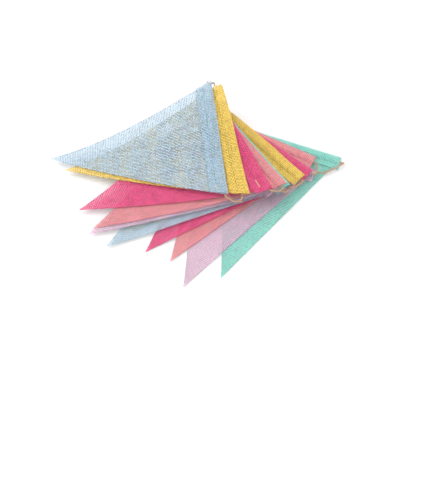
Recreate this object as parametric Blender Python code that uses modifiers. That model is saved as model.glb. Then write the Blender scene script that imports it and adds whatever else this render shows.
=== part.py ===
"""Bunting of twelve cloth pennants threaded on one twine, folded up into a fan.

The fan lies on a flat surface at z = 0. Metres, +Z up, the tips towards -X and -Y.
Each pennant is one cut of coarse open cloth with a straight strip at its top, turned back
over the twine and sewn down as a hem. The twine runs through all the hems in turn, so the
folded fan has a loop of twine between each pair of neighbours, at alternate ends.
"""

import math

import bmesh
import bpy
import numpy as np

MM = 0.001

# One pennant and its hem
WIDTH = 140 * MM  # of the folded top edge
LENGTH = 185 * MM  # from the folded edge to the tip
FLAP = 18 * MM  # depth of the strip that is turned back
CLOTH = 1.0 * MM
TWINE = 1.6 * MM
GAP = 0.3 * MM  # between two pieces that touch
LAYER_GAP = 0.2 * MM  # between the two layers of one hem
TURN = (CLOTH + LAYER_GAP) / 2  # radius of the folded edge, at the middle of the cloth
RISE = TWINE / 2 + GAP + CLOTH / 2  # from the middle of the twine to the middle of the cloth
CREST = 0.9 * MM  # half the flat top of the ridge over the twine
FOOT = 2.8 * MM  # half the ridge's width where it meets the hem

# How finely the cloth is divided
COLUMNS = 12  # along the hem, and rows from the hem to the tip
FOLD_STEPS = 4

# How the cloth settles
CELL = 1.5 * MM  # of the height map of what lies below
REACH = 200 * MM  # half a side of the height map
STEEPEST = 0.5  # least upright share of a face that still gets its full thickness
SETTLING = 300  # rounds of smoothing and lifting
LAST_LIFTS = 60  # rounds that only lift, after the last smoothing
SAG = 0.14 * MM  # drop in each round
CURL_START = 0.75  # share of the length at which a curled tip begins to rise
LEAST_AREA = 1e-9  # square metres of plan that a face needs to count as seen from above
ROUNDING = 1e-6  # by which a share of a face may fall outside it

# The pennants from the bottom of the fan to its top. x and y are the middle of the folded
# edge, heading is where the tip points and sway moves the tip sideways. thread is how far the
# twine lies from the folded edge. The slants are how far the flap's raw edge stands out at the
# hem's ends, or in where they are below zero. curl lifts the tip. near and far are how far the
# twine runs straight on beyond the hem's ends.
PENNANTS = (
    # name, colour, x, y, heading, sway, thread, near slant, far slant, curl, near, far
    ("mint_2", "mint", 73, 64, 248, 0, 8, 1, 0, 0, 3, 10),
    ("lilac_2", "lilac", 46, 50, 244, 3, 3.5, 0, 0, 0, 3, 4),
    ("salmon_2", "salmon", 48, 69, 240, -2, 8, 1, 0, 0, 3, 4),
    ("pink_2", "pink", 50, 60, 229, 0, 3.5, 0, 0, 0, 3, 4),
    ("yellow_2", "yellow", 46, 58, 223, -13, 8, 1, 0, 0, 3, 4),
    ("blue_2", "blue", 30, 46, 222, -4, 3.5, 0, 0, 2, 3, 4),
    ("mint_1", "mint", 35, 48, 216, -10, 8, 0, 0, 0, 3, 4),
    ("lilac_1", "lilac", 24, 42, 217, -10, 3.5, 0, 0, 0, 3, 4),
    ("salmon_1", "salmon", 31, 44, 215.5, -10, 8, -3, 0, 0, 3, 4),
    ("pink_1", "pink", 26, 42, 206, -6, 3.5, -3, 0, 0, 3, 4),
    ("yellow_1", "yellow", 19, 42, 191.5, -12, 8, -5, -4, 0, 3, 4),
    ("blue_1", "blue", 2, 43, 187.5, -13, 3.5, -7, -6, 0, 3, 2),
)

# The loops between neighbours, from the bottom: the end of the hems, and how far the loop
# stands out there.
LOOPS = (
    ("near", 5),
    ("far", 6),
    ("near", 6),
    ("far", 6),
    ("near", 5),
    ("far", 6),
    ("near", 5),
    ("far", 6),
    ("near", 6),
    ("far", 6),
    ("near", 12),
)
LOOP_POINTS = 9
LOOP_ROUNDS = 4  # of lifting a loop clear of what lies below
TWINE_STEPS = 6  # places on each piece of the twine that the height map takes in

# colour name: red, green, blue (linear)
COLOURS = {
    "blue": (0.40, 0.62, 0.82),
    "yellow": (0.82, 0.52, 0.08),
    "pink": (0.80, 0.10, 0.26),
    "salmon": (0.84, 0.32, 0.34),
    "lilac": (0.62, 0.42, 0.58),
    "mint": (0.28, 0.66, 0.52),
}
TWINE_COLOUR = (0.55, 0.38, 0.22)


def clear_scene():
    for thing in list(bpy.data.objects):
        bpy.data.objects.remove(thing, do_unlink=True)


def material(name, colour, roughness):
    made = bpy.data.materials.new(name)
    made.use_nodes = True
    shader = made.node_tree.nodes["Principled BSDF"]
    shader.inputs["Base Color"].default_value = (*colour, 1)
    shader.inputs["Roughness"].default_value = roughness
    shader.inputs["Metallic"].default_value = 0
    return made


def half_width(inward):
    """Half the width of the tapering cloth at this distance from the folded edge."""
    return WIDTH / 2 * (1 - inward / LENGTH)


def hem_section(thread):
    """(distance inward, height over the lower layer, half width) of each row of the hem.

    The rows start at the flap's edge on the lower layer, go down to the fold, round it, and
    back along the flap, over the twine, whose middle is at the distance thread.
    """
    rows = [(TURN, 0, half_width(TURN))]
    for step in range(1, FOLD_STEPS + 1):
        turn = math.pi * step / FOLD_STEPS
        rows.append((TURN - TURN * math.sin(turn), TURN - TURN * math.cos(turn), WIDTH / 2))
    low, high = 2 * TURN, 2 * RISE
    ridge = ((-FOOT, low), (-CREST, high), (CREST, high), (FOOT, low))
    rows += [(thread + aside, height, WIDTH / 2) for aside, height in ridge]
    rows.append((FLAP, low, WIDTH / 2))
    return rows


class Pattern:
    """The cut cloth of one pennant as a mesh, with where each point lies in the hemmed shape."""

    def __init__(self, thread):
        cut = bmesh.new()
        corners = [
            cut.verts.new((-half_width(FLAP), FLAP, 0)),
            cut.verts.new((half_width(FLAP), FLAP, 0)),
            cut.verts.new((0, LENGTH, 0)),
        ]
        cut.faces.new(corners)
        bmesh.ops.subdivide_edges(cut, edges=cut.edges[:], cuts=COLUMNS - 1, use_grid_fill=True)
        row = sorted(
            (point for point in cut.verts if abs(point.co.y - FLAP) < CELL / 100),
            key=lambda point: point.co.x,
        )
        place = {point: tuple(point.co) for point in cut.verts}
        self.lower = len(cut.verts) + len(row)
        rows = [row]
        for inward, height, half in hem_section(thread):
            edges = [cut.edges.get(pair) for pair in zip(row, row[1:])]
            made = set(bmesh.ops.extrude_edge_only(cut, edges=edges)["geom"])
            row = [next(e.other_vert(p) for e in p.link_edges if e.other_vert(p) in made) for p in row]
            for column, point in enumerate(row):
                place[point] = (half * (2 * column / COLUMNS - 1), inward, height)
            rows.append(row)
        cut.verts.index_update()
        self.points = np.array([place[point] for point in cut.verts])
        self.faces = [[point.index for point in face.verts] for face in cut.faces]
        ends = np.array([[point.index for point in edge.verts] for edge in cut.edges])
        self.ties = ends[ends.max(1) < self.lower]
        self.carried = self.carriers(rows)
        self.slope = self.slopes(rows)
        self.crests = [[point.index for point in row] for row in rows[-4:-2]]
        cut.free()

    def carriers(self, rows):
        """A matrix that gives every point its height from the lower layer beneath it."""
        share = np.zeros((len(self.points), self.lower))
        share[range(self.lower), range(self.lower)] = 1
        for row in rows[2:]:
            for column, point in enumerate(row):
                inward = max(self.points[point.index, 1], TURN)
                part = (inward - TURN) / (FLAP - TURN)
                share[point.index, rows[0][column].index] = part
                share[point.index, rows[1][column].index] = 1 - part
        return share

    def slopes(self, rows):
        """A matrix that gives every point of the hem the slope of the lower layer beneath it."""
        share = np.zeros((len(self.points), self.lower))
        for row in rows[1:]:
            for column, point in enumerate(row):
                share[point.index, rows[0][column].index] = 1 / (FLAP - TURN)
                share[point.index, rows[1][column].index] = -1 / (FLAP - TURN)
        return share


class HeightMap:
    """How high the pile reaches over each small square of the surface."""

    def __init__(self):
        self.count = int(2 * REACH / CELL)
        self.top = np.zeros((self.count, self.count))

    def cells(self, low, high):
        first = np.maximum(np.floor((low + REACH) / CELL).astype(int), 0)
        last = np.minimum(np.ceil((high + REACH) / CELL).astype(int), self.count - 1)
        i, j = np.meshgrid(range(first[0], last[0] + 1), range(first[1], last[1] + 1), indexing="ij")
        i, j = i.ravel(), j.ravel()
        return i, j, np.stack([i, j], 1) * CELL - REACH

    def samples(self, flat, faces):
        """For each square under the faces: its two indices, three points and their shares."""
        found = []
        for face in faces:
            for k in range(1, len(face) - 1):
                corners = [face[0], face[k], face[k + 1]]
                a, b, c = flat[corners]
                area = (b[0] - a[0]) * (c[1] - a[1]) - (b[1] - a[1]) * (c[0] - a[0])
                if abs(area) < LEAST_AREA:
                    continue
                i, j, at = self.cells(np.min([a, b, c], 0), np.max([a, b, c], 0))
                v = ((at[:, 0] - a[0]) * (c[1] - a[1]) - (at[:, 1] - a[1]) * (c[0] - a[0])) / area
                w = ((b[0] - a[0]) * (at[:, 1] - a[1]) - (b[1] - a[1]) * (at[:, 0] - a[0])) / area
                inside = (v >= -ROUNDING) & (w >= -ROUNDING) & (v + w <= 1 + ROUNDING)
                shares = np.stack([1 - v - w, v, w], 1)[inside]
                found.append((i[inside], j[inside], np.tile(corners, (len(shares), 1)), shares))
        return [np.concatenate(column) for column in zip(*found)]

    def around(self):
        """The highest square next to each square, itself included."""
        wide = np.pad(self.top, 1)
        n = self.count
        return np.max([wide[a : a + n, b : b + n] for a in range(3) for b in range(3)], 0)

    def cover(self, points, faces):
        """Raises the map to the upper face of a sheet."""
        i, j, corners, shares = self.samples(points[:, :2], faces)
        a, b, c = (points[corners[:, k]] for k in range(3))
        normal = np.cross(b - a, c - a)
        upright = np.abs(normal[:, 2]) / np.linalg.norm(normal, axis=1)
        height = (points[corners, 2] * shares).sum(1) + CLOTH / 2 / np.maximum(upright, STEEPEST)
        np.maximum.at(self.top, (i, j), height)

    def cover_twine(self, path):
        for a, b in zip(path, path[1:]):
            for part in np.linspace(0, 1, TWINE_STEPS):
                centre = a + (b - a) * part
                i, j, _ = self.cells(centre[:2] - TWINE / 2, centre[:2] + TWINE / 2)
                np.maximum.at(self.top, (i, j), centre[2] + TWINE / 2)

    def highest(self, centre, radius):
        i, j, _ = self.cells(centre[:2] - radius, centre[:2] + radius)
        return self.top[i, j].max()


class Pennant:
    """One pennant in its place: the middle of its cloth, before it gets its thickness."""

    def __init__(self, row):
        self.name, self.colour, x, y, heading, sway, thread = row[:7]
        near_slant, far_slant, curl, near, far = row[7:]
        pattern = self.pattern = Pattern(thread * MM)
        turn = math.radians(heading)
        self.inward = np.array([math.cos(turn), math.sin(turn)])
        self.along = np.array([-math.sin(turn), math.cos(turn)])
        self.middle = np.array([x, y]) * MM
        self.curl = curl * MM
        self.stubs = {"near": near * MM, "far": far * MM}
        across, inward, height = pattern.points.T
        side = across / (WIDTH / 2)
        raw = np.where(height > TURN, inward / FLAP, 0)
        slant = np.where(side > 0, near_slant, far_slant) * MM * side * raw
        lean = sway * MM * (inward / LENGTH) ** 2
        flat = self.middle + np.outer(across + slant + lean, self.along) + np.outer(inward, self.inward)
        self.points = np.column_stack([flat, height])

    def settle(self, below):
        """Lets the cloth down on what lies below, stiff enough to bridge small hollows."""
        pattern = self.pattern
        i, j, corners, shares = below.samples(self.points[:, :2], pattern.faces)
        top = below.around()[i, j]
        need = np.where(top > 0, top + GAP, 0) + CLOTH / 2
        weights = np.zeros((len(i), len(self.points)))
        np.add.at(weights, (np.arange(len(i))[:, None], corners), shares)
        need -= weights @ pattern.points[:, 2]
        weights = weights @ pattern.carried
        pull = weights / (weights**2).sum(1)[:, None]
        base = np.where(weights > 0, need[:, None], 0).max(0)
        a, b = pattern.ties.T
        ties = np.bincount(a, minlength=pattern.lower) + np.bincount(b, minlength=pattern.lower)
        for _ in range(SETTLING):
            beside = np.bincount(a, base[b], pattern.lower) + np.bincount(b, base[a], pattern.lower)
            base = 0.5 * base + 0.5 * beside / ties - SAG
            base = self.lift(base, need, weights, pull, 1)
        base = self.lift(base, need, weights, pull, LAST_LIFTS)
        tip = np.clip((pattern.points[:, 1] / LENGTH - CURL_START) / (1 - CURL_START), 0, 1)
        slope = pattern.slope @ base
        upright = 1 / np.sqrt(1 + slope**2)
        self.up = np.column_stack([np.outer(-slope * upright, self.inward), upright])
        self.points[:, 2] = pattern.carried @ base + self.curl * tip**2
        self.points += pattern.points[:, 2:] * self.up

    @staticmethod
    def lift(base, need, weights, pull, rounds):
        for _ in range(rounds):
            short = need - weights @ base
            if short.max() <= 0:
                break
            base = base + np.maximum((np.maximum(short, 0)[:, None] * pull).max(0), 0)
        return base

    def hem_path(self):
        """The twine's middle line inside the hem, from the far end to the near end."""
        path = (self.points - RISE * self.up)[self.pattern.crests].mean(0)
        near, far = path[-1], path[0]
        return np.vstack([
            far - (*self.along * self.stubs["far"], 0),
            path,
            near + (*self.along * self.stubs["near"], 0),
        ])

    def end(self, which):
        """The twine's last point beyond one end of the hem, and the way it points there."""
        path = self.hem_path()
        return (path[-1], self.along) if which == "near" else (path[0], -self.along)

    def build(self, collection, material_of):
        mesh = bpy.data.meshes.new(self.name)
        mesh.from_pydata(self.points.tolist(), [], self.pattern.faces)
        sheet = bpy.data.objects.new(self.name, mesh)
        mesh.materials.append(material_of)
        collection.objects.link(sheet)
        body = sheet.modifiers.new("cloth", "SOLIDIFY")
        body.thickness = CLOTH
        body.offset = 0
        body.use_even_offset = True
        return sheet


def loop_path(upper, lower, which, reach, pile):
    """A loop of twine from the end of one hem to the same end of the next one down."""
    start, out_start = upper.end(which)
    finish, out_finish = lower.end(which)
    a, b = start[:2], start[:2] + out_start * reach
    c, d = finish[:2] + out_finish * reach, finish[:2]
    path = []
    for step in range(1, LOOP_POINTS + 1):
        t = step / (LOOP_POINTS + 1)
        flat = (1 - t) ** 3 * a + 3 * t * (1 - t) ** 2 * b + 3 * t * t * (1 - t) * c + t**3 * d
        ease = t * t * (3 - 2 * t)
        height = start[2] + (finish[2] - start[2]) * ease
        path.append(np.array([*flat, height]))
    ends = [start, finish]
    for _ in range(LOOP_ROUNDS):
        for k, point in enumerate(path):
            floor = pile.highest(point, TWINE)
            least = floor + TWINE / 2 + (GAP if floor > 0 else 0)
            point[2] = max(point[2], least)
        line = [ends[0], *path, ends[1]]
        for k in range(1, len(line) - 1):
            line[k][2] = max(line[k][2], (line[k - 1][2] + line[k + 1][2]) / 2)
    return np.array(path)


def twine_curve(path, collection, material_of):
    curve = bpy.data.curves.new("twine", "CURVE")
    curve.dimensions = "3D"
    curve.bevel_depth = TWINE / 2
    curve.bevel_resolution = 2
    curve.use_fill_caps = True
    line = curve.splines.new("POLY")
    line.points.add(len(path) - 1)
    for point, place in zip(line.points, path):
        point.co = (*place, 1)
    curve.materials.append(material_of)
    twine = bpy.data.objects.new("twine", curve)
    collection.objects.link(twine)
    return twine


def fold_up():
    """All pennants settled from the bottom up, and the twine's whole path."""
    pile = HeightMap()
    piled = []
    runs = []
    for row in PENNANTS:
        pennant = Pennant(row)
        pennant.settle(pile)
        before = HeightMap()
        before.top = pile.top.copy()
        path = pennant.hem_path()
        if piled:
            which, reach = LOOPS[len(piled) - 1]
            loop = loop_path(pennant, piled[-1], which, reach * MM, before)
            runs.append(loop[::-1])
            pile.cover_twine(loop)
        pile.cover(pennant.points, pennant.pattern.faces)
        pile.cover_twine(path)
        runs.append(path)
        piled.append(pennant)
    way = []
    for k, pennant in enumerate(piled):
        path = runs[2 * k]
        way.extend(path if k % 2 == 0 else path[::-1])
        if k < len(piled) - 1:
            way.extend(runs[2 * k + 1])
    return piled, np.array(way)


def centre(parts):
    """Moves all parts so that the origin is at the middle of the whole, on the surface."""
    graph = bpy.context.evaluated_depsgraph_get()
    shapes = [thing.evaluated_get(graph) for thing in parts]
    points = np.array([point.co for shape in shapes for point in shape.to_mesh().vertices])
    low, high = points.min(0), points.max(0)
    for thing in parts:
        thing.location = (-(low[0] + high[0]) / 2, -(low[1] + high[1]) / 2, -low[2])


def main():
    clear_scene()
    collection = bpy.data.collections.new("bunting")
    bpy.context.scene.collection.children.link(collection)
    cloths = {name: material(name, colour, 0.9) for name, colour in COLOURS.items()}
    piled, way = fold_up()
    parts = [pennant.build(collection, cloths[pennant.colour]) for pennant in piled]
    parts.append(twine_curve(way, collection, material("jute", TWINE_COLOUR, 0.9)))
    centre(parts)


main()
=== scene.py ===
# %% [markdown]
# # A folded bunting of open-weave cloth
#
# This lesson dresses twelve cloth pennants on one jute twine, folded up into a fan. The solids of
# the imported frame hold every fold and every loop. Each piece below takes its shape from its solid,
# and adds what a solid cannot show: the weave, the seams, the cut edges and the twist of the twine.

# %% The frame and its size
import math
import random

import bmesh
import bpy
import numpy as np
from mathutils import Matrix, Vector
from mathutils.bvhtree import BVHTree


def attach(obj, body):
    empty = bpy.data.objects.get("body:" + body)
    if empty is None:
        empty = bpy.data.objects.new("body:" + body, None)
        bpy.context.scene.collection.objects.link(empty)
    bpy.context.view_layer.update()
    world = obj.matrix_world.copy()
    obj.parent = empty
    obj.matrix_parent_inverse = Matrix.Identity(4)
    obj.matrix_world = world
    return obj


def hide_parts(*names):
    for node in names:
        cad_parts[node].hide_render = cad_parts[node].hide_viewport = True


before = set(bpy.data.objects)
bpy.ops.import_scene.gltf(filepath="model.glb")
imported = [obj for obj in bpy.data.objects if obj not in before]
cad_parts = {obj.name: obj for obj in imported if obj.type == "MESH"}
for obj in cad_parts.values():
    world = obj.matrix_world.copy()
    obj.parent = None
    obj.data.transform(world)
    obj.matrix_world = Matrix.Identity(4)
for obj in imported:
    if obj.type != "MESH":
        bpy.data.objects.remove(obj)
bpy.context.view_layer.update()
MM = 0.001

# %% [markdown]
# ## The camera
#
# The fan is seen from above its front, so the camera looks down at 55 degrees. It stands close
# enough for the near hems to look larger than the far tips. A vertical shift slides the picture
# like the rising front of a studio camera, which keeps the fan high in the frame.

# %% Camera
ELEVATION = math.radians(55.5)
DISTANCE = 600 * MM
ORIGIN = Vector((21.9, 1.5, 0)) * MM  # from the middle of the fan's box to where the fan turns
LENS = 40.5  # mm
RISE = -0.124  # the vertical shift, as a share of the picture's longer side

camera = bpy.data.objects.new("camera", bpy.data.cameras.new("camera"))
bpy.context.scene.collection.objects.link(camera)
away = Vector((0, -math.cos(ELEVATION), math.sin(ELEVATION)))
camera.location = ORIGIN + away * DISTANCE
camera.rotation_euler = (-away).to_track_quat("-Z", "Y").to_euler()
camera.data.lens = LENS
camera.data.shift_y = RISE
bpy.context.scene.camera = camera
print("camera at", [round(x, 3) for x in camera.location])

# %% [markdown]
# ## Where each pennant lies
#
# A pennant is cut from one piece of cloth: a long triangle with a straight strip at its top, which
# is turned back over the twine and sewn down. Its place in the fan needs only a few numbers: the
# middle of its folded edge, where its tip points, how far the tip swings sideways, how far the
# twine lies from the fold, and how much the raw edge of the strip stands out at either end, or in
# where the number is below zero.

# %% Pennants
WIDTH = 140 * MM
LENGTH = 185 * MM
FLAP = 18 * MM
SOLID = 1.0 * MM  # thickness of the solids' cloth
TURN = 0.6 * MM  # radius of the folded edge
INSIDE = 0.5 * MM  # rays meet the solid at least this far inside its edges
TIP = 3 * MM  # and this far from its tip
STEEPEST = 0.5  # least upward part of a normal that still counts as cloth and not as an edge

PENNANTS = {
    # name: colour, x, y, heading, sway, thread, near slant, far slant
    "mint_2": ("mint", 73, 64, 248, 0, 8, 1, 0),
    "lilac_2": ("lilac", 46, 50, 244, 3, 3.5, 0, 0),
    "salmon_2": ("salmon", 48, 69, 240, -2, 8, 1, 0),
    "pink_2": ("pink", 50, 60, 229, 0, 3.5, 0, 0),
    "yellow_2": ("yellow", 46, 58, 223, -13, 8, 1, 0),
    "blue_2": ("blue", 30, 46, 222, -4, 3.5, 0, 0),
    "mint_1": ("mint", 35, 48, 216, -10, 8, 0, 0),
    "lilac_1": ("lilac", 24, 42, 217, -10, 3.5, 0, 0),
    "salmon_1": ("salmon", 31, 44, 215.5, -10, 8, -3, 0),
    "pink_1": ("pink", 26, 42, 206, -6, 3.5, -3, 0),
    "yellow_1": ("yellow", 19, 42, 191.5, -12, 8, -5, -4),
    "blue_1": ("blue", 2, 43, 187.5, -13, 3.5, -7, -6),
}


def tree_of(mesh):
    """The mesh as a tree that rays can be cast at."""
    return BVHTree.FromPolygons([v.co for v in mesh.vertices], [f.vertices for f in mesh.polygons])


class Place:
    """Turns cloth measures, across and inward from the fold, into points of the fan."""

    def __init__(self, name):
        self.name = name
        self.colour, x, y, heading, sway, thread, near, far = PENNANTS[name]
        turn = math.radians(heading)
        self.inward = np.array([math.cos(turn), math.sin(turn), 0])
        self.along = np.array([-math.sin(turn), math.cos(turn), 0])
        self.middle = np.array([x, y, 0]) * MM + ORIGIN
        self.sway, self.thread, self.slants = sway * MM, thread * MM, (near * MM, far * MM)
        self.tree = tree_of(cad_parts[name].data)

    def flat(self, across, inward):
        lean = self.sway * (inward / LENGTH) ** 2
        return self.middle + self.along * (across + lean) + self.inward * inward

    def height(self, across, inward):
        """The middle of the lower layer, found by looking up at the solid from below."""
        inward = min(max(inward, TURN + INSIDE), LENGTH - TIP)
        room = half_width(inward) - INSIDE
        x, y, _ = self.flat(min(max(across, -room), room), inward)
        place, normal, *_ = self.tree.ray_cast(Vector((x, y, -1)), Vector((0, 0, 1)))
        return place.z + SOLID / 2 / max(abs(normal.z), STEEPEST)


def half_width(inward):
    """Half the width of the tapering cloth at this distance from the folded edge."""
    return WIDTH / 2 * (1 - inward / LENGTH)


places = {name: Place(name) for name in PENNANTS}
for place in places.values():
    print(place.name, [round(place.height(a * 60 * MM, 5 * MM) / MM, 1) for a in (-1, 0, 1)])

# %% [markdown]
# ## One pennant as a cage
#
# Cloth bends in long soft curves. A coarse cage of four-sided cells, laid on the solid, needs only
# a few hundred points, and the Subdivision Surface modifier turns it into smooth cloth. The cage
# runs down the triangle, round the fold and back along the sewn strip, as the real piece does.
# Every point also keeps where it lies on the cut cloth, as its UV, so that the weave follows
# the fold.

# %% Cage rows
COLUMNS = 16
INWARD = (  # mm from the fold to each row of the triangle
    *(185, 181, 174, 166, 157, 148, 139, 130, 121, 112, 103, 94),
    *(85, 76, 67, 58, 49, 40, 32, 25, 18, 13, 8, 4),
)
BLUNT = 0.5 * MM  # half the width of the tip, which no cut makes quite sharp
SEAM = 11 * MM
SHEET = 0.35 * MM  # thickness of the drawn cloth
TURN_STEPS = 3
# Rows of the turned strip over the twine, as mm inward and mm over the lower layer
TWINE_BY_FOLD = ((1.2, 1.8), (2.6, 2.45), (4.4, 2.5), (6.6, 2.15), (9, 1.5), (11, 1.0), (12.5, 1.05))
TWINE_BY_SEAM = ((1.8, 1.4), (4, 1.95), (6.8, 2.45), (8.8, 2.45), (10.3, 1.7), (11.2, 1.0), (12.8, 1.1))
RAW_EDGE = ((15.5, 1.15), (17.4, 1.2), (18, 1.3))
BY_FOLD = 6 * MM  # twine that lies nearer the fold than this


def turned_rows(thread):
    """(run along the cloth, distance inward, height over the lower layer) of the strip's rows."""
    rows = []
    for step in range(TURN_STEPS + 1):
        turn = math.pi * step / TURN_STEPS
        rows.append((-TURN * turn, TURN * (1 - math.sin(turn)), TURN * (1 - math.cos(turn))))
    crest = TWINE_BY_FOLD if thread < BY_FOLD else TWINE_BY_SEAM
    for inward, height in (*crest, *RAW_EDGE):
        rows.append((-math.pi * TURN - inward * MM, inward * MM, height * MM))
    return rows


def strip_point(place, across, inward, height, raw=0.0):
    """A point of the turned strip. raw is how far the slanting ends stand out there, from 0 to 1."""
    low, high = place.height(across, TURN), place.height(across, FLAP)
    slope = (high - low) / (FLAP - TURN)
    up = (np.array([0, 0, 1]) - slope * place.inward) / math.hypot(1, slope)
    side = 2 * across / WIDTH
    stand = raw * side * place.slants[0 if side > 0 else 1]
    return place.flat(across + stand, inward) + up * height + (0, 0, low + slope * (inward - TURN))


def cage_rows(place):
    """Each row as a list of (point, across, run)."""
    sides = [2 * column / COLUMNS - 1 for column in range(COLUMNS + 1)]
    rows = []
    for inward in INWARD:
        inward = inward * MM
        row = []
        for side in sides:
            across = side * max(half_width(inward), BLUNT)
            point = place.flat(across, inward) + (0, 0, place.height(across, inward))
            row.append((point, across, inward))
        rows.append(row)
    ends = [side * (WIDTH / 2) for side in sides]
    for run, inward, height in turned_rows(place.thread):
        raw = inward / FLAP if run < -math.pi * TURN else 0
        rows.append([(strip_point(place, across, inward, height, raw), across, run) for across in ends])
    return rows


print("points in one cage:", sum(len(row) for row in cage_rows(places["blue_1"])))

# %% [markdown]
# ## From the cage to cloth
#
# The sheet is a third of a millimetre thick, so that it is cloth from both sides. Solidify gives
# that thickness after Subdivision has rounded the folds. Both are applied at once, because the
# seam and the loose yarns below are laid on the finished surface.

# %% Cloth sheet
UV_SHIFT = (80 * MM, 30 * MM)  # keeps all cloth measures above zero
SMOOTHING = 2


def cloth_sheet(place):
    shape = bmesh.new()
    measures = shape.loops.layers.uv.new("cloth")
    rows = [
        [(shape.verts.new(point), (across + UV_SHIFT[0], run + UV_SHIFT[1])) for point, across, run in row]
        for row in cage_rows(place)
    ]
    for low, high in zip(rows, rows[1:]):
        for column in range(COLUMNS):
            corners = [low[column], low[column + 1], high[column + 1], high[column]]
            face = shape.faces.new([point for point, _ in corners])
            face.smooth = True
            for loop, (_, uv) in zip(face.loops, corners):
                loop[measures].uv = uv
    bmesh.ops.recalc_face_normals(shape, faces=shape.faces[:])
    mesh = bpy.data.meshes.new(place.name + "_cloth")
    shape.to_mesh(mesh)
    shape.free()
    sheet = bpy.data.objects.new(place.name + "_cloth", mesh)
    bpy.context.scene.collection.objects.link(sheet)
    smooth = sheet.modifiers.new("soft folds", "SUBSURF")
    smooth.levels = smooth.render_levels = SMOOTHING
    smooth.boundary_smooth = "PRESERVE_CORNERS"
    smooth.uv_smooth = "NONE"
    body = sheet.modifiers.new("cloth", "SOLIDIFY")
    body.thickness = SHEET
    body.offset = 0
    graph = bpy.context.evaluated_depsgraph_get()
    finished = bpy.data.meshes.new_from_object(sheet.evaluated_get(graph))
    sheet.modifiers.clear()
    sheet.data = finished
    return sheet


sheets = {name: cloth_sheet(place) for name, place in places.items()}
print("faces in one sheet:", len(sheets["blue_1"].data.polygons))

# %% [markdown]
# ## The weave
#
# The cloth is an open plain weave, like thin burlap: coarse yarns cross over and under, with
# little square holes between them. Real yarns as geometry would be millions of faces, so a node
# group draws them from the cloth measures. It puts out three things: how far a yarn covers the
# spot, how high it stands, and its tone. Each yarn has its own width, swells into slubs and wanders
# a bit. The tone changes from crossing to crossing, is paler where a yarn is thick, and differs
# between the two sets of yarns, which gives the cloth its fine speckle.

# %% Weave group
WANDER, WANDER_SCALE = 0.9, 0.16  # range of the yarns' wander, and its bends, for each spacing
OWN_WIDTH, SLUB_WIDTH = 0.6, 1.6  # how much chance and slubs change the width of a yarn
SLUB_SCALE = 0.22  # slubs for each spacing along a yarn
NEXT_YARN = 7.31  # step in the noise from one yarn's slubs to the next's
OTHER_SET = 400.0  # keeps the chances of one set of yarns apart from those of the other
BENDING = 0.3  # how far a yarn rises and sinks at its crossings
ROUNDNESS = 0.45  # how much its middle stands above its sides
MIDDLE = 0.25  # height of the middle of the cloth
GRAIN_SCALE = 2.3
CROSSING_TONE, GRAIN_TONE, SLUB_TONE, SET_TONE = 0.25, 0.10, 0.40, 0.40


class Graph:
    """Short ways to add nodes to one node tree."""

    def __init__(self, tree):
        self.tree = tree

    def add(self, kind, values=(), **settings):
        node = self.tree.nodes.new(kind)
        for name, value in settings.items():
            setattr(node, name, value)
        for socket, value in dict(values).items():
            target = node.inputs[socket]
            if isinstance(value, bpy.types.NodeSocket):
                self.tree.links.new(value, target)
            else:
                target.default_value = value
        return node

    def math(self, operation, *values, clamp=False):
        return self.add("ShaderNodeMath", enumerate(values), operation=operation, use_clamp=clamp).outputs[0]

    def blend(self, share, a, b):
        """a where share is 0, b where it is 1."""
        return self.math("ADD", a, self.math("MULTIPLY", share, self.math("SUBTRACT", b, a)))

    def vector(self, x=0.0, y=0.0, z=0.0):
        return self.add("ShaderNodeCombineXYZ", {0: x, 1: y, 2: z}).outputs[0]

    def noise(self, vector, scale, detail=1.0):
        return self.add("ShaderNodeTexNoise", {"Vector": vector, "Scale": scale, "Detail": detail})

    def chance(self, value):
        """A random number for each whole value."""
        return self.add("ShaderNodeTexWhiteNoise", {"W": value}, noise_dimensions="1D").outputs["Value"]


def new_group(name, inputs, outputs):
    tree = bpy.data.node_groups.new(name, "ShaderNodeTree")
    for in_out, sockets in (("INPUT", inputs), ("OUTPUT", outputs)):
        for socket, kind in sockets.items():
            tree.interface.new_socket(socket, in_out=in_out, socket_type="NodeSocket" + kind)
    return tree


def yarns(graph, place, other, seed, width, unevenness):
    """One set of yarns, side by side: distance from a yarn's middle, half width, number, slub."""
    number = graph.math("FLOOR", place)
    away = graph.math("ABSOLUTE", graph.math("SUBTRACT", graph.math("SUBTRACT", place, number), 0.5))
    seeded = graph.math("ADD", number, seed)
    own = graph.math("SUBTRACT", graph.chance(seeded), 0.5)
    along = graph.math("MULTIPLY", other, SLUB_SCALE)
    along = graph.vector(graph.math("MULTIPLY", seeded, NEXT_YARN), along)
    slub = graph.math("SUBTRACT", graph.noise(along, 1.0).outputs[0], 0.5)
    swell = graph.math("MULTIPLY", slub, SLUB_WIDTH)
    change = graph.math("ADD", graph.math("MULTIPLY", own, OWN_WIDTH), swell)
    change = graph.math("MULTIPLY", unevenness, change)
    half = graph.math("MULTIPLY", graph.math("MULTIPLY", width, 0.5), graph.math("ADD", 1.0, change))
    return away, half, seeded, slub


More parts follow.
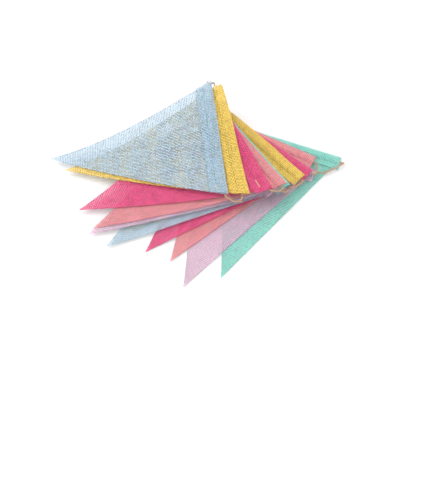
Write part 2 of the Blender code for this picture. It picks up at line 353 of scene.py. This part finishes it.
def weave_group():
    tree = new_group(
        "open plain weave",
        {"Cloth": "Vector", "Pitch": "Float", "Yarn width": "Float", "Unevenness": "Float"},
        {"Cover": "Float", "Height": "Float", "Tone": "Float"},
    )
    graph = Graph(tree)
    given = graph.add("NodeGroupInput").outputs
    width, unevenness = given["Yarn width"], given["Unevenness"]
    scaled = graph.add("ShaderNodeVectorMath", {0: given["Cloth"]}, operation="SCALE")
    tree.links.new(graph.math("DIVIDE", 1.0, given["Pitch"]), scaled.inputs["Scale"])
    wander = graph.noise(scaled.outputs[0], WANDER_SCALE, 2.0).outputs["Color"]
    grey = (0.5, 0.5, 0.5)
    centred = graph.add("ShaderNodeVectorMath", {0: wander, 1: grey}, operation="SUBTRACT").outputs[0]
    swing = graph.add("ShaderNodeVectorMath", {0: centred, "Scale": WANDER}, operation="SCALE").outputs[0]
    spot = graph.add("ShaderNodeVectorMath", {0: scaled.outputs[0], 1: swing}, operation="ADD").outputs[0]
    parts = graph.add("ShaderNodeSeparateXYZ", {0: spot}).outputs
    u, v = parts["X"], parts["Y"]
    away_u, half_u, number_u, slub_u = yarns(graph, u, v, 0.0, width, unevenness)
    away_v, half_v, number_v, slub_v = yarns(graph, v, u, OTHER_SET, width, unevenness)
    odd = graph.math("MODULO", graph.math("ADD", number_u, number_v), 2.0)
    turn = graph.math("SUBTRACT", 1.0, graph.math("MULTIPLY", odd, 2.0))
    heights = []
    for away, half, beside, sign in ((away_u, half_u, away_v, 1.0), (away_v, half_v, away_u, -1.0)):
        ratio = graph.math("DIVIDE", away, half)
        inside = graph.math("LESS_THAN", ratio, 1.0)
        below_top = graph.math("MULTIPLY", ratio, ratio)
        round_ = graph.math("SQRT", graph.math("SUBTRACT", 1.0, below_top, clamp=True))
        wave = graph.math("COSINE", graph.math("MULTIPLY", beside, math.pi))
        lift = graph.math("MULTIPLY", graph.math("MULTIPLY", wave, turn), BENDING * sign)
        height = graph.math("MULTIPLY", round_, ROUNDNESS)
        height = graph.math("ADD", height, graph.math("ADD", lift, MIDDLE))
        heights.append(graph.math("MULTIPLY", inside, height, clamp=True))
    upper = graph.math("MAXIMUM", *heights)
    first = graph.math("GREATER_THAN", heights[0], heights[1])
    crossing = graph.chance(graph.math("ADD", graph.math("MULTIPLY", number_u, 31.0), number_v))
    grain = graph.noise(scaled.outputs[0], GRAIN_SCALE, 3.0).outputs[0]
    slub = graph.math("ADD", graph.blend(first, slub_v, slub_u), 0.5)
    tone = graph.math("MULTIPLY", crossing, CROSSING_TONE)
    for part, share in ((grain, GRAIN_TONE), (slub, SLUB_TONE), (first, SET_TONE)):
        tone = graph.math("ADD", tone, graph.math("MULTIPLY", part, share))
    cover = graph.math("GREATER_THAN", upper, 0.0)
    graph.add("NodeGroupOutput", {"Cover": cover, "Height": upper, "Tone": tone})
    return tree


weave = weave_group()
print("nodes in the weave group:", len(weave.nodes))

# %% [markdown]
# ## Spun fibre
#
# The loose yarn ends, the sewing thread and the twine are too thin for a weave, but they are spun
# too: fine fibres run nearly along them, some lighter and some darker. A second group stretches
# a noise along the yarn for that. It needs the distance along the yarn and the way round it, which
# the tubes below keep as their UV.

# %% Spun group
def spun_group():
    tree = new_group(
        "spun fibre",
        {"Yarn": "Vector", "Fibres": "Float", "Length": "Float", "Slant": "Float"},
        {"Height": "Float", "Tone": "Float"},
    )
    graph = Graph(tree)
    given = graph.add("NodeGroupInput").outputs
    parts = graph.add("ShaderNodeSeparateXYZ", {0: given["Yarn"]}).outputs
    along, round_ = parts["X"], parts["Y"]
    turn = graph.math("ADD", round_, graph.math("MULTIPLY", along, given["Slant"]))
    turn = graph.math("MULTIPLY", turn, math.tau)
    ring = [graph.math("MULTIPLY", graph.math(part, turn), given["Fibres"]) for part in ("COSINE", "SINE")]
    stretched = graph.vector(ring[0], ring[1], graph.math("MULTIPLY", along, given["Length"]))
    fine = graph.noise(stretched, 1.0, 3.0).outputs[0]
    broad = graph.noise(given["Yarn"], 60.0, 2.0).outputs[0]
    tone = graph.math("ADD", graph.math("MULTIPLY", fine, 0.7), graph.math("MULTIPLY", broad, 0.3))
    graph.add("NodeGroupOutput", {"Height": fine, "Tone": tone})
    return tree


spun = spun_group()
print("nodes in the spun group:", len(spun.nodes))

# %% [markdown]
# ## Dyed cloth
#
# All six colours are the same cloth, dyed, though some dyes leave it a little denser. The spacing
# of its yarns could not be measured. It was chosen by trial, for how strong the rendered texture
# looks. Light reaches the low places between the yarns less, so the colour follows the height,
# and each yarn takes the dye a little differently. Some light soaks into the fibres, which is the
# Subsurface of the shader. The holes are its Alpha. The sheet has two faces, so Alpha is also zero
# on faces seen from behind: the eye then meets only one weave.

# %% Cloth materials
PITCH = 1.85 * MM
UNEVENNESS = 0.5
DEEPEST, PALEST = 0.12, 1.7  # the dye at its darkest and palest, as shares of itself; on the cloth that is painted shade in the low places and painted highlight on the crests
HIGHLIGHT_WHITE = 0.02  # painted highlight: a little white on the crests, for the light that the fuzz catches
BY_TONE, SHADE_BY_HEIGHT, DARK = 1.1, 0.7, 0.4  # what tone and height add to the blend from deep to pale, and what comes off; the share by height is painted shade and highlight
RELIEF, FINE_RELIEF = 0.3 * MM, 0.1 * MM  # of the weave, and of the fibres in a yarn
FIBRE_RUN = 300.0  # how often the fibres change in a metre of yarn
FIBRE_LOOK = {
    "Roughness": 0.92,
    "Sheen Weight": 0.15,
    "Specular IOR Level": 0.2,
    "Subsurface Weight": 0.4,
    "Subsurface Radius": (1, 1, 1),
    "Subsurface Scale": 0.5 * MM,
}
DYES = {
    # name: (red, green, blue of the yarn in full light), width of the yarns
    "blue": ((0.31, 0.415, 0.495), 0.45),
    "yellow": ((0.59, 0.41, 0.085), 0.54),
    "pink": ((0.52, 0.058, 0.16), 0.57),
    "salmon": ((0.57, 0.205, 0.22), 0.52),
    "lilac": ((0.54, 0.36, 0.46), 0.45),
    "mint": ((0.19, 0.48, 0.415), 0.54),
}


def place_group(graph, tree, values):
    node = graph.add("ShaderNodeGroup")
    node.node_tree = tree
    for socket, value in values.items():
        if isinstance(value, bpy.types.NodeSocket):
            graph.tree.links.new(value, node.inputs[socket])
        else:
            node.inputs[socket].default_value = value
    return node.outputs


def dyed_and_shaded(graph, dye, tone_and_shade):
    """A colour from the deep tone of the dye, where tone_and_shade is 0, to its pale tone with a painted
    highlight; on the cloth the deep end is painted shade in the low places.
    """
    deep = tuple(part**1.5 * DEEPEST for part in dye)
    # The pale tone carries a little white as painted highlight.
    pale = tuple(part * PALEST + HIGHLIGHT_WHITE for part in dye)
    blend = {"Factor": tone_and_shade, 6: (*deep, 1), 7: (*pale, 1)}
    return graph.add("ShaderNodeMix", blend, data_type="RGBA").outputs[2]


def new_material(name):
    made = bpy.data.materials.new(name)
    made.use_nodes = True
    shader = made.node_tree.nodes["Principled BSDF"]
    for socket, value in FIBRE_LOOK.items():
        shader.inputs[socket].default_value = value
    return made, Graph(made.node_tree), shader


def cloth_material(name, dye, width):
    made, graph, shader = new_material(name + " cloth")
    measures = graph.add("ShaderNodeUVMap", uv_map="cloth").outputs[0]
    given = {"Cloth": measures, "Pitch": PITCH, "Yarn width": width, "Unevenness": UNEVENNESS}
    cloth = place_group(graph, weave, given)
    from_tone = graph.math("MULTIPLY", cloth["Tone"], BY_TONE)
    shade_from_height = graph.math("MULTIPLY", cloth["Height"], SHADE_BY_HEIGHT)
    # Painted shade and highlight: the lower a spot of the weave lies, the darker its colour, and the crests
    # are paler.
    tone_and_shade = graph.math("SUBTRACT", graph.math("ADD", from_tone, shade_from_height), DARK, clamp=True)
    made.node_tree.links.new(dyed_and_shaded(graph, dye, tone_and_shade), shader.inputs["Base Color"])
    front = graph.math("SUBTRACT", 1.0, graph.add("ShaderNodeNewGeometry").outputs["Backfacing"])
    made.node_tree.links.new(graph.math("MULTIPLY", cloth["Cover"], front), shader.inputs["Alpha"])
    relief = {"Height": cloth["Height"], "Distance": RELIEF, "Strength": 0.7}
    bump = graph.add("ShaderNodeBump", relief)
    made.node_tree.links.new(bump.outputs[0], shader.inputs["Normal"])
    return made


def yarn_material(name, dye, fibres=5.0, slant=200.0):
    made, graph, shader = new_material(name)
    yarn = graph.add("ShaderNodeUVMap", uv_map="yarn").outputs[0]
    given = {"Yarn": yarn, "Fibres": fibres, "Length": FIBRE_RUN, "Slant": slant}
    fibre = place_group(graph, spun, given)
    made.node_tree.links.new(dyed_and_shaded(graph, dye, fibre["Tone"]), shader.inputs["Base Color"])
    relief = {"Height": fibre["Height"], "Distance": FINE_RELIEF, "Strength": 0.5}
    bump = graph.add("ShaderNodeBump", relief)
    made.node_tree.links.new(bump.outputs[0], shader.inputs["Normal"])
    return made


cloths = {name: cloth_material(name, *values) for name, values in DYES.items()}
yarn_ends = {name: yarn_material(name + " yarn", dye) for name, (dye, _) in DYES.items()}
for name, sheet in sheets.items():
    sheet.data.materials.clear()
    sheet.data.materials.append(cloths[places[name].colour])
print("cloth materials:", sorted(cloths))

# %% [markdown]
# ## Thin tubes
#
# Yarn ends, stitches, fibres and the twine are all round and thin, so one helper sweeps a ring of
# points along any path. Curve objects could do that too, but thousands of short ones would each
# be an object. One mesh for each pennant's yarn ends keeps the scene light.

# %% Tube helper
def tube_mesh(name, runs, sides, material, lobes=0.0, twist=0.0):
    """One object with a closed tube for each run, which is (points, radii)."""
    points, faces, uvs = [], [], []
    angles = np.arange(sides) * math.tau / sides
    for path, radii in runs:
        path = np.asarray(path, float)
        ways = np.gradient(path, axis=0)
        ways /= np.linalg.norm(ways, axis=1)[:, None]
        lengths = np.concatenate([[0], np.cumsum(np.linalg.norm(np.diff(path, axis=0), axis=1))])
        aside = np.cross(ways[0], (0.3, 0.2, 1.0))
        first = len(points)
        for at, way, radius, run in zip(path, ways, radii, lengths):
            aside = aside - way * (aside @ way)
            aside /= np.linalg.norm(aside)
            other = np.cross(way, aside)
            turned = angles + twist * run
            size = radius * (1 + lobes * np.cos(3 * angles))
            across, up = np.cos(turned) * size, np.sin(turned) * size
            points.extend(at + np.outer(across, aside) + np.outer(up, other))
        for ring in range(len(path) - 1):
            low, high = first + ring * sides, first + (ring + 1) * sides
            for side in range(sides):
                after = (side + 1) % sides
                faces.append((low + side, low + after, high + after, high + side))
                start, end = lengths[ring], lengths[ring + 1]
                corners = ((start, side), (start, side + 1), (end, side + 1), (end, side))
                uvs.extend((run, turn / sides) for run, turn in corners)
        for start, order in ((first, -1), (first + (len(path) - 1) * sides, 1)):
            faces.append(tuple(range(start, start + sides))[::order])
            uvs.extend([(0, 0)] * sides)
    mesh = bpy.data.meshes.new(name)
    mesh.from_pydata([tuple(point) for point in points], [], faces)
    mesh.uv_layers.new(name="yarn").data.foreach_set("uv", np.array(uvs, np.float32).ravel())
    mesh.polygons.foreach_set("use_smooth", [True] * len(faces))
    mesh.materials.append(material)
    made = bpy.data.objects.new(name, mesh)
    bpy.context.scene.collection.objects.link(made)
    return made


# %% [markdown]
# ## The seam
#
# The strip is sewn down 11 mm from the fold. A sewing machine leaves a row of short stitches on
# both sides, each sunk into the cloth at its ends. Two of the upper pennants also show a brighter
# dash near the end of the hem, where the machine went back over the last stitches.

# %% Seam stitches
STITCH = 3.0 * MM
THREAD = 0.17 * MM  # radius of the sewing thread
BACK_STITCHES = 3  # how many the machine goes back over
BACK_THREAD = 0.42 * MM  # radius of those, where threads lie side by side
HEM_MARGIN = 4 * MM  # both ends of the hem together, which have no seam
BACK_STITCHED = {"blue_1": (6, 13), "pink_1": (8, 18)}  # mm from the near end
# A stitch from end to end: shares of its length, and heights in radii of its thread
STITCH_SHAPE = ((-0.5, -1.2), (-0.36, 0.5), (0, 0.9), (0.36, 0.5), (0.5, -1.2))

surfaces = {name: tree_of(sheet.data) for name, sheet in sheets.items()}


def on_cloth(name, point, above):
    """The cloth's upper or lower surface over or under a point, and which way it faces."""
    start, way = (1, -1) if above else (-1, 1)
    place, normal, *_ = surfaces[name].ray_cast(Vector((point[0], point[1], start)), Vector((0, 0, way)))
    if place is None:
        return None, None
    normal = np.array(normal)
    return np.array(place), normal * math.copysign(1, normal[2] * -way)


def stitch(name, middle, above, radius, length=STITCH * 0.8):
    path = []
    for step, rise in STITCH_SHAPE:
        flat = strip_point(places[name], middle + step * length, SEAM, 0)
        place, normal = on_cloth(name, flat, above)
        if place is None:
            return None
        path.append(place + normal * rise * radius)
    return path, [radius] * len(path)


def seam(name):
    runs, marks = [], []
    count = int((WIDTH - HEM_MARGIN) / STITCH)
    for above in (True, False):
        for k in range(count):
            middle = (k + (0.5 if above else 0) - count / 2) * STITCH
            runs.append(stitch(name, middle, above, THREAD))
    if name in BACK_STITCHED:
        first, last = BACK_STITCHED[name]
        for k in range(BACK_STITCHES):
            middle = WIDTH / 2 - (first + (last - first) * (k + 0.5) / BACK_STITCHES) * MM
            marks.append(stitch(name, middle, True, BACK_THREAD, (last - first) / BACK_STITCHES * MM))
    return [run for run in runs if run], marks


THREAD_SHADE = 0.8  # sewing thread is a little darker than its cloth
thread_colours = {}
for name, (dye, _) in DYES.items():
    thread_colours[name] = yarn_material(name + " thread", tuple(part * THREAD_SHADE for part in dye))
cream_thread = yarn_material("cream thread", (0.80, 0.62, 0.38))
seams = {}
for name in sheets:
    stitches, marks = seam(name)
    seams[name] = [tube_mesh(name + "_seam", stitches, 5, thread_colours[places[name].colour])]
    if marks:
        seams[name].append(tube_mesh(name + "_back_stitch", marks, 6, cream_thread))
print("stitches in one seam:", len(stitches))

# %% [markdown]
# ## Cut edges
#
# Coarse cloth frays where it is cut. On the slanting sides both sets of yarns end, on the ends of
# the hem only those along it, and on the raw edge of the strip only those across it. Each yarn
# end stands out a little, by its own length and bend, which keeps the outline from looking
# cut out of paper.

# %% Frayed yarn ends
ROOT = 1.2 * MM  # how far inside the edge a loose yarn end starts
LEAST_HEIGHT = 0.3 * MM  # keeps the yarn ends off the table
END_SHARES = (0, 0.4, 0.75, 1)
END_TAPER = (1, 0.9, 0.7, 0.3)
chance = random.Random(7)


def yarn_end(name, start, way, above, length):
    """A bent, tapering yarn that leaves the cloth at start."""
    place, normal = on_cloth(name, start, above)
    if place is None:
        return None
    aside = np.cross(way, (0, 0, 1))
    bend, drop = chance.uniform(-0.35, 0.35), chance.uniform(-0.25, 0.15)
    path = []
    for share in END_SHARES:
        reach = way * share + aside * bend * share**2 + np.array([0, 0, drop]) * share**2
        point = place - normal * SHEET / 2 + reach * length
        path.append((point[0], point[1], max(point[2], LEAST_HEIGHT)))
    radius = chance.uniform(0.16, 0.26) * MM
    return path, [radius * share for share in END_TAPER]


def frayed(name):
    place = places[name]
    ends = []
    for k in range(int((LENGTH - FLAP) / PITCH) - 1):
        inward = FLAP + (k + chance.random()) * PITCH
        for side in (-1, 1):
            edge = side * half_width(inward)
            start = place.flat(edge - side * ROOT, inward)
            ends.append((start, place.along * side, False, ROOT + chance.uniform(0.1, 1.0) * MM))
            if k % 2:
                start = place.flat(edge - side * 0.5 * MM, inward - ROOT)
                ends.append((start, place.inward, False, ROOT + chance.uniform(0.1, 1.2) * MM))
    for k in range(int(FLAP / PITCH)):
        inward = (k + 0.5) * PITCH
        for side in (-1, 1):
            start = strip_point(place, side * (WIDTH / 2 - ROOT), inward, 0, inward / FLAP)
            ends.append((start, place.along * side, True, ROOT + chance.uniform(0.2, 1.4) * MM))
    for k in range(int(WIDTH / PITCH)):
        across = (k + chance.random()) * PITCH - WIDTH / 2
        start = strip_point(place, across, FLAP - ROOT, 0, 1)
        ends.append((start, place.inward, True, ROOT + chance.uniform(0.0, 0.9) * MM))
    return [run for run in (yarn_end(name, *end) for end in ends) if run]


frays = {}
for name in sheets:
    runs = frayed(name)
    frays[name] = tube_mesh(name + "_yarn_ends", runs, 4, yarn_ends[places[name].colour])
print("yarn ends on one pennant:", len(runs))

# %% [markdown]
# ## Each sheet in place of its solid
#
# Each sheet takes the place of its solid, which is hidden, and its seam, back-stitches and yarn ends go
# with it. All of them are attached to the one root body.

for name, sheet in sheets.items():
    on_it = [*seams[name], frays[name]]
    for piece in (sheet, *on_it):
        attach(piece, "root")
    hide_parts(name)

# %% [markdown]
# ## The twine's way
#
# One twine runs through all the hems and loops from each to the next. Its solid is a plain tube,
# so its middle line can be read off it. From the cap at one end, the next ring of points is
# always the set of neighbours not met yet, and the middle of each ring is a point of the line.

# %% Twine centre line
STEP = 0.6 * MM  # between two points of the drawn twine
SAME = 0.01 * MM  # points nearer than this are one
CAP_REACH = 1.8 * MM  # the end cap's points lie within this of each other


def ring_middles(node):
    shape = bmesh.new()
    shape.from_mesh(node.data)
    bmesh.ops.remove_doubles(shape, verts=shape.verts[:], dist=SAME)
    shape.verts.index_update()
    beside = [sorted(edge.other_vert(vert).index for edge in vert.link_edges) for vert in shape.verts]
    spots = np.array([vert.co for vert in shape.verts])
    shape.free()

    def rings(start):
        met, ring, found = set(start), sorted(start), []
        while ring:
            found.append(ring)
            ring = sorted({other for one in ring for other in beside[one]} - met)
            met.update(ring)
        return found

    end = rings([0])[-1][0]
    cap = np.flatnonzero(np.linalg.norm(spots - spots[end], axis=1) < CAP_REACH).tolist()
    return np.array([spots[ring].mean(0) for ring in rings(cap)])


def smooth_line(points, step):
    """A smooth curve through the points, with a point every step."""
    lengths = np.concatenate([[0], np.cumsum(np.linalg.norm(np.diff(points, axis=0), axis=1))])
    slopes = np.gradient(points, lengths, axis=0)
    spots = np.arange(0, lengths[-1], step)
    left = np.clip(np.searchsorted(lengths, spots, "right") - 1, 0, len(points) - 2)
    span = (lengths[left + 1] - lengths[left])[:, None]
    t = (spots - lengths[left])[:, None] / span
    return (
        points[left] * (1 + 2 * t) * (1 - t) ** 2
        + slopes[left] * span * t * (1 - t) ** 2
        + points[left + 1] * t * t * (3 - 2 * t)
        + slopes[left + 1] * span * t * t * (t - 1)
    )


middles = ring_middles(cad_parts["twine"])
way = smooth_line(middles, STEP)
print("rings of the solid:", len(middles), "length of the twine:", round(len(way) * STEP / MM), "mm")

# %% [markdown]
# ## Twisted jute
#
# The twine is three soft strands twisted together. A tube whose cross-section has three low lobes,
# turned steadily as it is swept along, shows that twist without three separate strands. Its
# thickness wanders a little, as hand twine does, and it is drawn thinner inside the hems, so that
# it stays under the cloth. Where it is out of the hems it is bent and crumpled, with deep loops
# pulled to a kink, and short fibres stand off it in all directions. Both ends open into a brush.

# %% Twine in the open
TWINE = 1.5 * MM  # thickness
DEEP_LOOP = 7 * MM  # loops that reach further than this are kinked
CRUMPLE = 0.45 * MM  # how far the small bends stray
CRUMPLE_STEPS = 5  # from one bend to the next
PAST_FOLD = 1 * MM  # a hem reaches this far out past its fold
HEM_HEIGHT = 5 * MM  # and this far over and under its lower layer


def in_a_hem(point):
    for place in places.values():
        off = point - place.middle
        if abs(off @ place.along) < WIDTH / 2 and -PAST_FOLD < off @ place.inward < FLAP:
            if abs(point[2] - place.height(off @ place.along, off @ place.inward)) < HEM_HEIGHT:
                return True
    return False


def kinked(line, hidden):
    """The line with each loop in the open drawn halfway to two straight arms, as stiff twine bends."""
    bent = line.copy()
    edges = np.flatnonzero(np.diff(np.concatenate([[1], hidden, [1]])))
    for first, after in zip(edges[::2], edges[1::2]):
        last = after - 1
        reach = np.linalg.norm(line[first:after] - (line[first] + line[last]) / 2, axis=1)
        apex = first + int(reach.argmax())
        if first < apex < last and reach.max() > DEEP_LOOP:
            arms = np.interp(range(first, after), (first, apex, last), (0, 1, 2))[:, None]
            straight = line[first] + (line[apex] - line[first]) * np.minimum(arms, 1)
            straight += (line[last] - line[apex]) * np.maximum(arms - 1, 0)
            bent[first:after, :2] = (line[first:after, :2] + straight[:, :2]) / 2
    return bent


def crumpled(line, hidden, size, wave):
    """The line with small bends where it is in the open. wave is how many steps one bend takes."""
    twist = np.random.default_rng(3)
    knots = twist.uniform(-1, 1, (len(line) // wave + 2, 3)) * size
    steps = np.arange(len(line)) / wave
    bends = np.stack([np.interp(steps, np.arange(len(knots)), knots[:, k]) for k in range(3)], 1)
    open_share = np.convolve(1.0 - hidden, np.ones(wave) / wave, "same")
    bent = line + bends * (open_share * (1 - hidden))[:, None]
    bent[:, 2] = np.maximum(bent[:, 2], TWINE / 2)
    return bent


hidden = np.array([float(in_a_hem(point)) for point in way])
way = crumpled(kinked(way, hidden), hidden, CRUMPLE, CRUMPLE_STEPS)
print("twine in the open:", round((1 - hidden).sum() * STEP / MM), "mm")

# %% Twine
TWIST = math.tau / (6.5 * MM)  # one turn of the strands every 6.5 mm
THINNER = 0.4  # how much thinner the twine is drawn inside a hem
EASING = 7  # steps over which it gets thinner

jute = yarn_material("jute", (0.54, 0.34, 0.21), fibres=4.0, slant=150.0)
steps = np.arange(len(way))
thickness = TWINE / 2 * (1 + 0.07 * np.sin(steps * 0.13) + 0.05 * np.sin(steps * 0.41))
thickness *= 1 - THINNER * np.convolve(hidden, np.ones(EASING) / EASING, "same")
twine = tube_mesh("twisted_twine", [(way, thickness)], 12, jute, lobes=0.14, twist=TWIST)
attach(twine, "root")
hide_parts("twine")
print("thickness of the twine:", [round(2 * x / MM, 1) for x in (thickness.min(), thickness.max())], "mm")

# %% Loose fibres
FIBRES_EACH = 2  # at every step in the open
BRUSH_FIBRES = 16
FIBRE_SHARES = (0, 0.3, 0.6, 0.85, 1)
FIBRE_TAPER = (1, 1, 0.8, 0.6, 0.3)
LEAST_FIBRE_HEIGHT = 0.15 * MM


def fibre(start, way_out, length):
    aside = np.array([chance.uniform(-1, 1) for _ in range(3)])
    path = []
    for share in FIBRE_SHARES:
        point = start + length * (way_out * share + aside * 0.5 * share**2)
        path.append((point[0], point[1], max(point[2], LEAST_FIBRE_HEIGHT)))
    radius = chance.uniform(0.06, 0.11) * MM
    return path, [radius * share for share in FIBRE_TAPER]


hairs = []
for k in range(2, len(way) - 2):
    if hidden[k]:
        continue
    along = way[k + 1] - way[k]
    along /= np.linalg.norm(along)
    out = np.cross(along, [chance.uniform(-1, 1) for _ in range(3)])
    out /= np.linalg.norm(out)
    slant = out * chance.uniform(0.3, 1) + along * chance.uniform(-1, 1)
    for _ in range(FIBRES_EACH):
        hairs.append(fibre(way[k] + out * TWINE * 0.4, slant, chance.uniform(1.0, 3.8) * MM))
for end, inside in ((0, 3), (-1, -4)):
    out = way[end] - way[inside]
    out /= np.linalg.norm(out)
    for _ in range(BRUSH_FIBRES):
        spread = np.array([chance.uniform(-0.4, 0.4) for _ in range(3)])
        hairs.append(fibre(way[end] - out * 1.0 * MM, out + spread, chance.uniform(1.2, 2.6) * MM))
fibres = tube_mesh("twine_fibres", hairs, 3, jute)
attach(fibres, "root")
print("fibres:", len(hairs))

# %% [markdown]
# ## Floor and light
#
# The bunting lies on a plain pale table. A white surround and one large soft lamp from the upper
# left give the even, nearly shadowless light of a picture made for a catalogue.

# %% Floor
FLOOR_HALF = 4  # metres
FLOOR_PALE = (0.8, 0.8, 0.8, 1)
FLOOR_DROP = 0.2 * MM  # keeps the floor just clear of the cloth

floor = bpy.data.objects.new("floor", bpy.data.meshes.new("floor"))
shape = bmesh.new()
bmesh.ops.create_grid(shape, x_segments=1, y_segments=1, size=FLOOR_HALF)
shape.to_mesh(floor.data)
shape.free()
bpy.context.scene.collection.objects.link(floor)
paper = bpy.data.materials.new("pale table")
paper.use_nodes = True
surface = paper.node_tree.nodes["Principled BSDF"]
surface.inputs["Base Color"].default_value = FLOOR_PALE
surface.inputs["Roughness"].default_value = 1
floor.data.materials.append(paper)
floor.location.z = -FLOOR_DROP
print("table:", 2 * FLOOR_HALF, "metres across")

# %% Light
SURROUND = 1.2  # strength of the white all round
LAMP_SIDE = 0.8  # metres
LAMP_POWER = 5  # watts
LAMP_AT = (-0.5, 0.35, 1.1)

world = bpy.data.worlds.new("surround")
world.use_nodes = True
world.node_tree.nodes["Background"].inputs["Color"].default_value = (1, 1, 1, 1)
world.node_tree.nodes["Background"].inputs["Strength"].default_value = SURROUND
bpy.context.scene.world = world
lamp = bpy.data.objects.new("soft lamp", bpy.data.lights.new("soft lamp", "AREA"))
lamp.data.size = LAMP_SIDE
lamp.data.energy = LAMP_POWER
lamp.location = LAMP_AT
lamp.rotation_euler = (-Vector(lamp.location)).to_track_quat("-Z", "Y").to_euler()
bpy.context.scene.collection.objects.link(lamp)
bpy.context.scene.view_settings.view_transform = "Standard"
print("lamp:", LAMP_POWER, "watts,", round(lamp.location.length, 2), "metres away")
